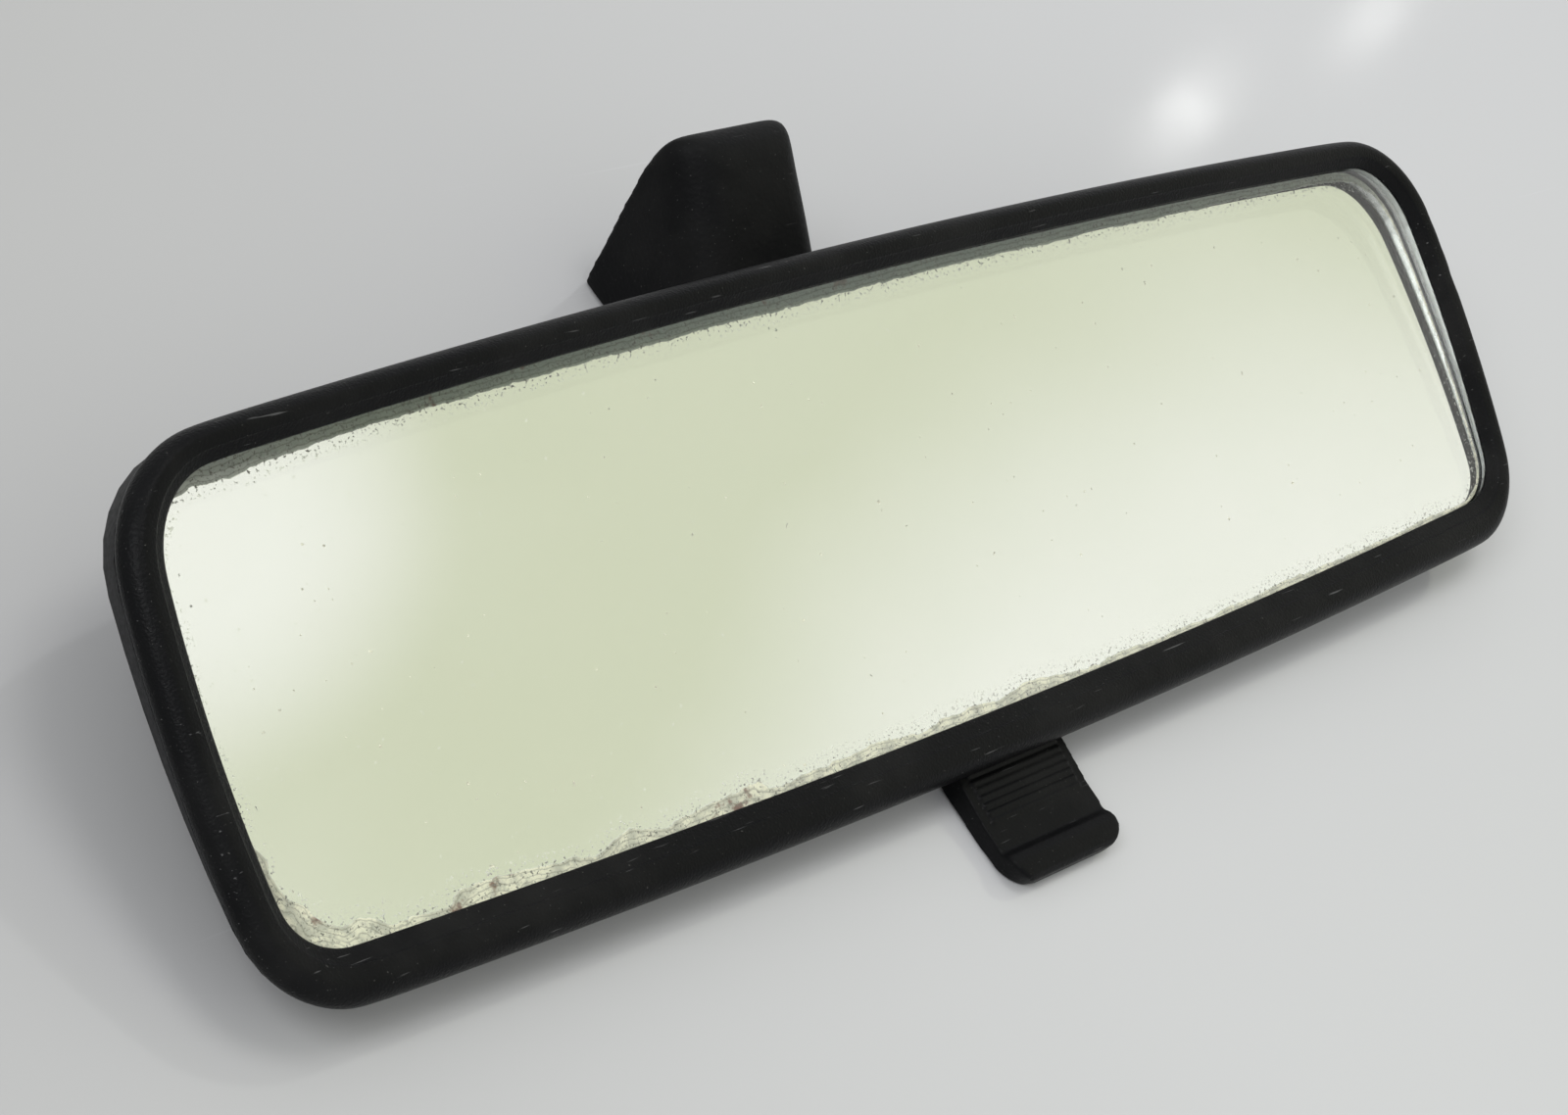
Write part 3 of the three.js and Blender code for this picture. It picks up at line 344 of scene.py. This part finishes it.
# The silvering is clean in the middle and corroded along its edges; along its top a green-grey strip is a
# painted reflection of the rim and the glass's edge. edgeDistance is the distance in metres from the edge
# of the sheet, written on its vertices.
def silverMaterial():
    values = {"thinBand": 0.0005, "topReflectionBand": 0.0013, "topLeftBand": 0.0016, "leftBand": 0.0011,
              "bottomBand": 0.0019, "cornerBand": 0.0016,
              "bottomReach": (0.022, 0.008), "topReach": (0.020, 0.008), "leftReach": (0.016, 0.007),
              "leftward": (0.045, -0.050), "farLeft": (-0.080, -0.108), "leftShare": (0.85, 0.15),
              "ragged": (95.0, 3.0, 0.5), "raggedMiddle": 0.22, "swell": 2.6,
              "raggedFine": (560.0, 6.0, 0.66), "fineMiddle": 0.5, "fray": 0.0009, "softness": 0.00008,
              "pit": (2600.0, 2.0, 0.6), "pitEdges": (0.60, 0.65), "pitReach": 0.0022,
              "lone": (1400.0, 0.0, 0.3), "loneEdges": (0.857, 0.865),
              "blotch": (420.0, 5.0, 0.6), "blotchEdges": (0.40, 0.62),
              "rust": (180.0, 4.0, 0.6), "rustEdges": (0.60, 0.66),
              "tideScale": 420.0, "tideDistortion": 1.4, "tideDetail": 2.0,
              "tideEdges": (0.82, 0.95), "tideShare": 0.4,
              "dark": (2300.0, 3.0, 0.6), "darkEdges": (0.57, 0.63), "darkShare": 0.35,
              "haze": (60.0, 3.0, 0.6), "hazeRoughness": 0.015, "lostRoughness": 0.65,
              "relief": 0.25, "reliefDepth": 0.00005}
    colours = {"cream": rgba(0.74, 0.70, 0.56), "beige": rgba(0.46, 0.44, 0.36),
               "paintedReflectionGreen": rgba(0.24, 0.29, 0.235), "paleGrey": rgba(0.46, 0.47, 0.44),
               "rust": rgba(0.16, 0.07, 0.05), "tide": rgba(0.09, 0.08, 0.06),
               "dark": rgba(0.04, 0.038, 0.034), "pit": rgba(0.14, 0.13, 0.11),
               "silver": rgba(0.94, 0.93, 0.91)}
    material, tree, shader, place = startMaterial("silvering")
    split = addNode(tree, "ShaderNodeSeparateXYZ", {0: place})
    across, along = split.outputs["X"], split.outputs["Y"]
    edge = addNode(tree, "ShaderNodeAttribute", attribute_name="edgeDistance").outputs["Fac"]
    low, high = (rimMiddle - halfHeight) * headUp.y, (rimMiddle + halfHeight) * headUp.y

    # Where on the sheet a place is.
    nearBottom = smoothMask(tree, along, *(low + reach for reach in values["bottomReach"]))
    nearTop = smoothMask(tree, along, *(high - reach for reach in values["topReach"]))
    atLeft = smoothMask(tree, across, *(reach - halfWidth for reach in values["leftReach"]))
    leftward = smoothMask(tree, across, *values["leftward"])
    farLeft = smoothMask(tree, across, *values["farLeft"])
    topLeft = times(tree, nearTop, farLeft)
    greyLeft = times(tree, atLeft, minus(tree, 1.0, nearBottom))

    # How wide the corroded band is there; along the top it also holds a strip of painted reflection.
    bottom = times(tree, nearBottom, timesPlus(tree, leftward, *values["leftShare"]))
    loose = timesPlus(tree, bottom, values["bottomBand"], values["thinBand"])
    loose = timesPlus(tree, times(tree, nearBottom, farLeft), values["cornerBand"], loose)
    loose = timesPlus(tree, topLeft, values["topLeftBand"], loose)
    loose = timesPlus(tree, atLeft, values["leftBand"], loose)
    ragged = minus(tree, noiseValue(tree, place, *values["ragged"]), values["raggedMiddle"])
    band = times(tree, loose, times(tree, ragged, values["swell"]))
    # A smooth strip along the top is added: a painted reflection of the rim and the glass's edge.
    band = timesPlus(tree, nearTop, values["topReflectionBand"], band)
    raggedFine = minus(tree, noiseValue(tree, place, *values["raggedFine"]), values["fineMiddle"])
    inside = minus(tree, plus(tree, edge, times(tree, raggedFine, values["fray"])), band)

    # How much silver is left.
    clean = smoothMask(tree, inside, -values["softness"], values["softness"])
    pits = noiseMask(tree, place, values["pit"], values["pitEdges"])
    pitted = times(tree, pits, smoothMask(tree, inside, values["pitReach"], 0.0))
    lone = noiseMask(tree, place, values["lone"], values["loneEdges"])
    silverLeft = times(tree, clean, minus(tree, 1.0, pitted))
    silverLeft = times(tree, silverLeft, minus(tree, 1.0, lone))

    # The colours of the loss. Dark tide lines follow its ragged edge.
    blotch = noiseMask(tree, place, values["blotch"], values["blotchEdges"])
    lost = mixColour(tree, blotch, colours["cream"], colours["beige"])
    # Along the top the bare band is painted green-grey, a painted reflection of the rim and the glass's
    # edge.
    lost = mixColour(tree, nearTop, lost, colours["paintedReflectionGreen"])
    lost = mixColour(tree, mathNode(tree, "MAXIMUM", topLeft, greyLeft), lost, colours["paleGrey"])
    rust = noiseMask(tree, place, values["rust"], values["rustEdges"])
    lost = mixColour(tree, times(tree, rust, leftward), lost, colours["rust"])
    tide = addNode(tree, "ShaderNodeTexWave",
                   {"Vector": addNode(tree, "ShaderNodeCombineXYZ", {0: inside}).outputs[0],
                    "Scale": values["tideScale"], "Distortion": values["tideDistortion"],
                    "Detail": values["tideDetail"]})
    tideLine = times(tree, smoothMask(tree, tide.outputs["Fac"], *values["tideEdges"]), values["tideShare"])
    lost = mixColour(tree, tideLine, lost, colours["tide"])
    dark = noiseMask(tree, place, values["dark"], values["darkEdges"])
    lost = mixColour(tree, times(tree, dark, values["darkShare"]), lost, colours["dark"])
    lost = mixColour(tree, pitted, lost, colours["pit"])
    tree.links.new(mixColour(tree, silverLeft, lost, colours["silver"]), shader.inputs["Base Color"])
    tree.links.new(silverLeft, shader.inputs["Metallic"])
    haze = times(tree, noiseValue(tree, place, *values["haze"]), values["hazeRoughness"])
    rough = timesPlus(tree, minus(tree, 1.0, silverLeft), values["lostRoughness"], haze)
    tree.links.new(rough, shader.inputs["Roughness"])
    bump = addNode(tree, "ShaderNodeBump", {"Strength": values["relief"], "Distance": values["reliefDepth"],
                                            "Height": silverLeft})
    tree.links.new(bump.outputs[0], shader.inputs["Normal"])
    return material


wedgeGlass = glassMaterial()
silvering = silverMaterial()
print("stage: materials made")


def selectOnly(piece):
    bpy.ops.object.select_all(action="DESELECT")
    piece.select_set(True)
    bpy.context.view_layer.objects.active = piece


# A merged copy of a CAD node, with its flat faces joined up again, ready to be worked on.
def copyOf(nodeName, pieceName, flatAngle=0.6, mergeWithin=0.000004):
    selectOnly(frame["nodes"][nodeName])
    bpy.ops.object.duplicate(linked=False)
    piece = bpy.context.view_layer.objects.active
    piece.name = pieceName
    piece.data.name = pieceName
    piece.parent = None
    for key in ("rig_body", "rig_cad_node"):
        if key in piece:
            del piece[key]
    selectOnly(piece)
    bpy.ops.object.mode_set(mode="EDIT")
    bpy.ops.mesh.select_all(action="SELECT")
    bpy.ops.mesh.remove_doubles(threshold=mergeWithin)
    if flatAngle:
        bpy.ops.mesh.dissolve_limited(angle_limit=math.radians(flatAngle))
    bpy.ops.object.mode_set(mode="OBJECT")
    return piece


def applyModifier(piece, kind, **settings):
    selectOnly(piece)
    modifier = piece.modifiers.new(kind.lower(), kind)
    for name, value in settings.items():
        setattr(modifier, name, value)
    bpy.ops.object.modifier_apply(modifier=modifier.name)


def roundEdges(piece, width, sharper, segments=2):
    applyModifier(piece, "BEVEL", width=width, segments=segments, limit_method="ANGLE",
                  angle_limit=math.radians(sharper), use_clamp_overlap=True,
                  miter_outer="MITER_ARC", harden_normals=False)


# Smooth shading, with normals led by the larger faces, up to the given angle between faces.
def smooth(piece, angle, faceWeight=100):
    selectOnly(piece)
    bpy.ops.object.shade_smooth_by_angle(angle=math.radians(angle))
    applyModifier(piece, "WEIGHTED_NORMAL", keep_sharp=True, weight=faceWeight)


def settle(piece, nodeName, bodyName, material):
    piece.data.materials.clear()
    piece.data.materials.append(material)
    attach(piece, bodyName)
    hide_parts(nodeName)


def bodyOf(nodeName):
    bodies = frame["record"]["behaviour"]["bodies"]
    return next(body for body, members in bodies.items() if nodeName in members)


def creaseSharp(piece, sharpness, crease):
    selectOnly(piece)
    bpy.ops.object.mode_set(mode="EDIT")
    bpy.ops.mesh.select_mode(type="EDGE")
    bpy.ops.mesh.select_all(action="DESELECT")
    bpy.ops.mesh.edges_select_sharp(sharpness=math.radians(sharpness))
    bpy.ops.transform.edge_crease(value=crease)
    bpy.ops.mesh.select_mode(type="VERT")
    bpy.ops.object.mode_set(mode="OBJECT")


# The rim's bead is subdivided smooth, and its right end has small nicks.
def makeRim():
    values = {"quadAngle": 60.0, "creaseAbove": 38.0, "crease": 0.82, "levels": 2, "smoothAngle": 50.0,
              "seed": 41, "nicks": 9, "nickDepth": 0.00022, "nickRise": (0.1, 0.8),
              "nickReach": (0.0007, 0.0013), "nickInset": 0.001, "nickBehind": 0.0008, "nickSpread": 2.5}
    rim = copyOf("bezel_rim", "rimBead", flatAngle=0)
    quadAngle = math.radians(values["quadAngle"])
    selectOnly(rim)
    bpy.ops.object.mode_set(mode="EDIT")
    bpy.ops.mesh.select_all(action="SELECT")
    bpy.ops.mesh.tris_convert_to_quads(face_threshold=quadAngle, shape_threshold=quadAngle)
    bpy.ops.object.mode_set(mode="OBJECT")
    creaseSharp(rim, values["creaseAbove"], values["crease"])
    applyModifier(rim, "SUBSURF", levels=values["levels"], render_levels=values["levels"])
    dice = random.Random(values["seed"])
    for _ in range(values["nicks"]):
        rise = dice.uniform(*values["nickRise"]) * halfHeight
        reach = dice.uniform(*values["nickReach"])
        target = (Vector((halfWidth - values["nickInset"], 0, 0)) + headUp * (rimMiddle + rise)
                  + headBack * (rimFront + values["nickBehind"]))
        for vertex in rim.data.vertices:
            gap = (vertex.co - target).length
            if gap < reach * values["nickSpread"]:
                vertex.co -= Vector((values["nickDepth"], 0, 0)) * math.exp(-(gap / reach) ** 2)
    smooth(rim, values["smoothAngle"])
    settle(rim, "bezel_rim", "head", rimPlastic)


makeRim()
print("stage: rim modelled")


# The pane is shaded flat, so that its two faces stay true, and its edge is marked as ground.
def makeGlass():
    values = {"bevel": 0.00035, "sharper": 40.0, "faceCosine": 0.9}
    glass = copyOf("mirror_glass", "wedgeGlassPane")
    roundEdges(glass, values["bevel"], values["sharper"])
    selectOnly(glass)
    bpy.ops.object.shade_flat()
    ground = glass.data.attributes.new("groundEdge", "FLOAT", "FACE")
    for face in glass.data.polygons:
        onEdge = abs(face.normal.dot(headBack)) < values["faceCosine"]
        ground.data[face.index].value = 1.0 if onEdge else 0.0
    settle(glass, "mirror_glass", "head", wedgeGlass)


def distanceToOutline(place, outline):
    gaps = []
    for index, start in enumerate(outline):
        span = outline[(index + 1) % len(outline)] - start
        share = max(0.0, min(1.0, (place - start).dot(span) / span.length_squared))
        gaps.append((start + span * share - place).length)
    return min(gaps)


# The sheet is brought up against the glass and cut into cells, whose vertices carry edgeDistance.
def makeSilver():
    values = {"gapToGlass": 0.00004, "cadGap": 0.0003, "cellSize": 0.003}
    sheet = copyOf("silver_backing", "silverSheet")
    faces = sorted(sheet.data.polygons, key=lambda face: face.area)
    front = min(faces[-2:], key=lambda face: face.normal.dot(headBack))
    shift = -headBack * (values["cadGap"] - values["gapToGlass"])
    outline = [sheet.data.vertices[index].co + shift for index in front.vertices]
    selectOnly(sheet)
    bpy.ops.object.mode_set(mode="EDIT")
    bpy.ops.mesh.select_all(action="SELECT")
    bpy.ops.transform.translate(value=shift)
    columns = int(halfWidth / values["cellSize"])
    rows = int(halfHeight / values["cellSize"])
    cuts = [(Vector((column * values["cellSize"], 0, 0)), Vector((1, 0, 0)))
            for column in range(-columns, columns + 1)]
    cuts += [(headUp * (rimMiddle + row * values["cellSize"]), headUp) for row in range(-rows, rows + 1)]
    for place, facing in cuts:
        bpy.ops.mesh.select_all(action="SELECT")
        bpy.ops.mesh.bisect(plane_co=place, plane_no=facing)
    bpy.ops.object.mode_set(mode="OBJECT")
    distance = sheet.data.attributes.new("edgeDistance", "FLOAT", "POINT")
    for vertex in sheet.data.vertices:
        distance.data[vertex.index].value = distanceToOutline(vertex.co, outline)
    settle(sheet, "silver_backing", "head", silvering)


makeGlass()
makeSilver()
print("stage: glass modelled")


# A CAD node remeshed finely and softened all over, and softened much more where weightAt says.
def softened(nodeName, pieceName, values, weightAt, step=0.5):
    piece = copyOf(nodeName, pieceName, flatAngle=0)
    applyModifier(piece, "REMESH", mode="VOXEL", voxel_size=values["cell"], adaptivity=0.0)
    strong = piece.vertex_groups.new(name="strong")
    for vertex in piece.data.vertices:
        weight = weightAt(vertex.co)
        if weight > 0:
            strong.add([vertex.index], weight, "REPLACE")
    applyModifier(piece, "SMOOTH", factor=step, iterations=values["strongPasses"], vertex_group="strong")
    applyModifier(piece, "SMOOTH", factor=step, iterations=values["passes"])
    selectOnly(piece)
    bpy.ops.object.shade_smooth()
    return piece


def ramp(value, low, high):
    return max(0.0, min(1.0, (value - low) / (high - low)))


# The finger lip's two ends are rounded over.
def makeLever():
    values = {"cell": 0.0002, "strongPasses": 24, "passes": 3,
              "lipRise": (0.0060, 0.0045), "endReach": (0.0078, 0.0090)}
    lowest = spanAlong("day_night_lever", headUp)[0] - rimMiddle
    lever = softened("day_night_lever", "flipLever", values,
                     lambda place: ramp(riseOf(place) - lowest, *values["lipRise"])
                     * ramp(abs(place.x), *values["endReach"]))
    settle(lever, "day_night_lever", "lever", leverPlastic)


# The hood's rolled top and the two edges beside it are well rounded.
def makeFoot():
    values = {"cell": 0.00036, "strongPasses": 160, "passes": 9,
              "crownRise": (0.039, 0.0455), "crownDepth": (0.0235, 0.0195)}
    foot = softened("foot_arm", "footMoulding", values,
                    lambda place: ramp(riseOf(place), *values["crownRise"])
                    * ramp(depthOf(place), *values["crownDepth"]))
    settle(foot, "foot_arm", "foot", footPlastic)


# The nodes that need no more than eased edges. Each row names the new piece, its slot and material,
# the width of the eased edge and the angle above which an edge is eased.
easedNodes = {
    "rear_shell": ("rearTub", "shell_plastic", shellPlastic, {"bevel": 0.0003, "sharper": 42.0}),
    "carrier_bracket": ("socketCarrier", "die_casting", dieCasting, {"bevel": 0.00025, "sharper": 40.0}),
    "clamp_plate": ("socketClamp", "zinc_steel", zincSteel, {"bevel": 0.0002, "sharper": 40.0}),
    "clamp_screw_1": ("clampScrewLeft", "zinc_steel", zincSteel, {"bevel": 0.0001, "sharper": 40.0}),
    "clamp_screw_2": ("clampScrewRight", "zinc_steel", zincSteel, {"bevel": 0.0001, "sharper": 40.0}),
    "socket_cup_rear": ("linerRear", "nylon", naturalNylon, {"bevel": 0.0001}),
    "socket_cup_front": ("linerFront", "nylon", naturalNylon, {"bevel": 0.0001}),
    "ball_stud": ("ballStud", "bright_steel", brightSteel, {"bevel": 0.00015}),
    "tilt_pin": ("tiltPin", "bright_steel", brightSteel, {"bevel": 0.0002}),
    "lever_pin": ("leverPin", "bright_steel", brightSteel, {"bevel": 0.0002}),
    "tilt_stop_1": ("stopLeft", "rubber_stop", stopRubber, {"bevel": 0.0003}),
    "tilt_stop_2": ("stopRight", "rubber_stop", stopRubber, {"bevel": 0.0003}),
    "detent_spring": ("detentStrip", "spring_steel", springSteel, {"bevel": 0.0001, "segments": 1}),
    "mount_spring": ("footStrip", "spring_steel", springSteel, {"bevel": 0.0001, "segments": 1}),
    "mount_plate": ("footPlate", "die_casting", dieCasting, {"bevel": 0.0002, "sharper": 40.0}),
    "mount_screw_1": ("footScrewLeft", "zinc_steel", zincSteel, {"bevel": 0.0001, "sharper": 40.0}),
    "mount_screw_2": ("footScrewRight", "zinc_steel", zincSteel, {"bevel": 0.0001, "sharper": 40.0}),
    "glass_pad_1": ("padFarLeft", "foam_pad", padFoam, {"bevel": 0.0003}),
    "glass_pad_2": ("padLeft", "foam_pad", padFoam, {"bevel": 0.0003}),
    "glass_pad_3": ("padRight", "foam_pad", padFoam, {"bevel": 0.0003}),
    "glass_pad_4": ("padFarRight", "foam_pad", padFoam, {"bevel": 0.0003}),
}


def makeEased(nodeName, pieceName, slotName, material, values):
    usual = {"sharper": 45.0, "segments": 2, "smoothAngle": 32.0}
    values = {**usual, **values}
    piece = copyOf(nodeName, pieceName)
    roundEdges(piece, values["bevel"], values["sharper"], values["segments"])
    smooth(piece, values["smoothAngle"])
    settle(piece, nodeName, bodyOf(nodeName), material)


makeLever()
makeFoot()
for easedName, easedRow in easedNodes.items():
    makeEased(easedName, *easedRow)
print("stage: mouldings and metalwork finished")


# A pale table top with faint hairlines, and painted shade that makes it a little darker far from the
# camera.
def makeFloor():
    values = {"half": 1.4, "colour": (0.60, 0.605, 0.615), "toneColour": (0.65, 0.655, 0.665),
              "paintedShadeColour": (0.30, 0.296, 0.28), "tone": (6.0, 3.0, 0.5),
              "hairTurn": (0, 0, 0.9), "hairScale": (12.0, 900.0, 1.0), "hair": (1.0, 2.0, 0.5),
              "hairEdges": (0.72, 0.78), "hairShare": 0.12, "hairColour": (0.8, 0.82, 0.84),
              "paintedShadeSlant": -0.8, "paintedShadeEdges": (0.15, -0.45), "paintedShadeShare": 0.9,
              "roughness": 0.05, "smudge": (30.0, 3.0, 0.6), "smudgeRoughness": 0.08}
    bpy.ops.object.select_all(action="DESELECT")
    bpy.ops.mesh.primitive_plane_add(size=2 * values["half"], location=(0, 0, 0))
    floor = bpy.context.view_layer.objects.active
    floor.name = "tableTop"
    material, tree, shader, place = startMaterial("tableTop")
    tone = noiseValue(tree, place, *values["tone"])
    colour = mixColour(tree, tone, rgba(*values["colour"]), rgba(*values["toneColour"]))
    stretched = addNode(tree, "ShaderNodeMapping",
                        {"Vector": place, "Rotation": values["hairTurn"], "Scale": values["hairScale"]})
    hair = times(tree, noiseMask(tree, stretched.outputs[0], values["hair"], values["hairEdges"]),
                 values["hairShare"])
    split = addNode(tree, "ShaderNodeSeparateXYZ", {0: place})
    # Painted shade: the top is darkened towards -X and +Y, the side far from the camera.
    slant = timesPlus(tree, split.outputs["Y"], values["paintedShadeSlant"], split.outputs["X"])
    paintedShade = times(tree, smoothMask(tree, slant, *values["paintedShadeEdges"]), values["paintedShadeShare"])
    shaded = mixColour(tree, paintedShade, colour, rgba(*values["paintedShadeColour"]))
    tree.links.new(mixColour(tree, hair, shaded, rgba(*values["hairColour"])), shader.inputs["Base Color"])
    smudge = noiseValue(tree, place, *values["smudge"])
    rough = timesPlus(tree, smudge, values["smudgeRoughness"], values["roughness"])
    tree.links.new(rough, shader.inputs["Roughness"])
    floor.data.materials.append(material)


# Two soft lamps light the object, and two small ones are mirrored as highlights on the table top.
lamps = {
    "keyLamp": {"place": (0.05, 0.2, 1.3), "target": (0, 0, 0), "size": 0.5, "power": 3.0,
                "colour": (1.0, 0.99, 0.97)},
    "fillLamp": {"place": (-0.9, 0.15, 0.9), "target": (0, 0, 0), "size": 0.6, "power": 5.0,
                 "colour": (0.97, 0.985, 1.0)},
    "windowLamp": {"place": (1.734, 0.647, 1.028), "target": (0.125, 0.051, 0), "size": 0.045,
                   "power": 0.028, "colour": (1.0, 1.0, 0.98)},
    "farLamp": {"place": (1.86, 0.635, 0.935), "target": (0.188, 0.06, 0), "size": 0.035,
                "power": 0.014, "colour": (1.0, 1.0, 0.98)},
}


# A quaternion that points an object's -Z from place to target.
def lookFrom(place, target):
    return (Vector(target) - Vector(place)).to_track_quat("-Z", "Y")


def makeLamp(name, values):
    bpy.ops.object.select_all(action="DESELECT")
    bpy.ops.object.light_add(type="AREA", location=values["place"])
    lamp = bpy.context.view_layer.objects.active
    lamp.name = name
    lamp.data.shape = "DISK"
    lamp.data.size = values["size"]
    lamp.data.energy = values["power"]
    lamp.data.color = values["colour"]
    lamp.rotation_mode = "QUATERNION"
    lamp.rotation_quaternion = lookFrom(values["place"], values["target"])


# The room that the glass mirrors is a pale olive wall towards +X, with one bright patch mirrored at
# the glass's left end and another at its lower right.
def makeWorld():
    values = {"room": (0.70, 0.705, 0.715), "wall": (0.696, 0.72, 0.56), "bright": (0.99, 0.985, 0.947),
              "wallWay": (0.712, -0.266, 0.649), "wallEdges": (0.82, 0.93),
              "leftWay": (0.5844, -0.0619, 0.8091), "leftEdges": (0.9958, 1.0),
              "rightWay": (0.80, -0.24, 0.55), "rightEdges": (0.970, 0.994),
              "cloud": (9.0, 2.0, 0.5), "cloudMiddle": 0.46, "cloudiness": 0.5}
    world = bpy.data.worlds.new("softRoom")
    bpy.context.scene.world = world
    world.use_nodes = True
    tree = world.node_tree
    back = tree.nodes["Background"]
    way = addNode(tree, "ShaderNodeTexCoord").outputs["Generated"]

    def facing(target, edges):
        turn = addNode(tree, "ShaderNodeVectorMath", {0: way, 1: target}, operation="DOT_PRODUCT")
        return smoothMask(tree, turn.outputs["Value"], *edges)

    onWall = facing(values["wallWay"], values["wallEdges"])
    patches = mathNode(tree, "MAXIMUM", facing(values["leftWay"], values["leftEdges"]),
                       facing(values["rightWay"], values["rightEdges"]))
    cloud = minus(tree, noiseValue(tree, way, *values["cloud"]), values["cloudMiddle"])
    share = timesPlus(tree, cloud, values["cloudiness"], patches)
    clamped = mathNode(tree, "MINIMUM", mathNode(tree, "MAXIMUM", share, 0.0), 1.0)
    wall = mixColour(tree, clamped, rgba(*values["wall"]), rgba(*values["bright"]))
    tree.links.new(mixColour(tree, onWall, rgba(*values["room"]), wall), back.inputs["Color"])
    back.inputs["Strength"].default_value = 1.0


def makeCamera():
    values = {"place": (-0.3219, -0.1148, 0.2853), "aim": (-0.0157, -0.0011, 0.0056),
              "roll": 41.95, "lens": 80.9, "sensor": 36.0, "nearest": 0.01}
    bpy.ops.object.select_all(action="DESELECT")
    bpy.ops.object.camera_add(location=values["place"])
    camera = bpy.context.view_layer.objects.active
    camera.name = "viewCamera"
    camera.data.lens = values["lens"]
    camera.data.sensor_width = values["sensor"]
    camera.data.clip_start = values["nearest"]
    camera.rotation_mode = "QUATERNION"
    roll = Quaternion((0, 0, 1), math.radians(values["roll"]))
    camera.rotation_quaternion = lookFrom(values["place"], values["aim"]) @ roll
    bpy.context.scene.camera = camera


makeFloor()
for lampName, lampValues in lamps.items():
    makeLamp(lampName, lampValues)
makeWorld()
makeCamera()
bpy.context.scene.view_settings.view_transform = "Standard"
print("stage: floor, light and camera placed")
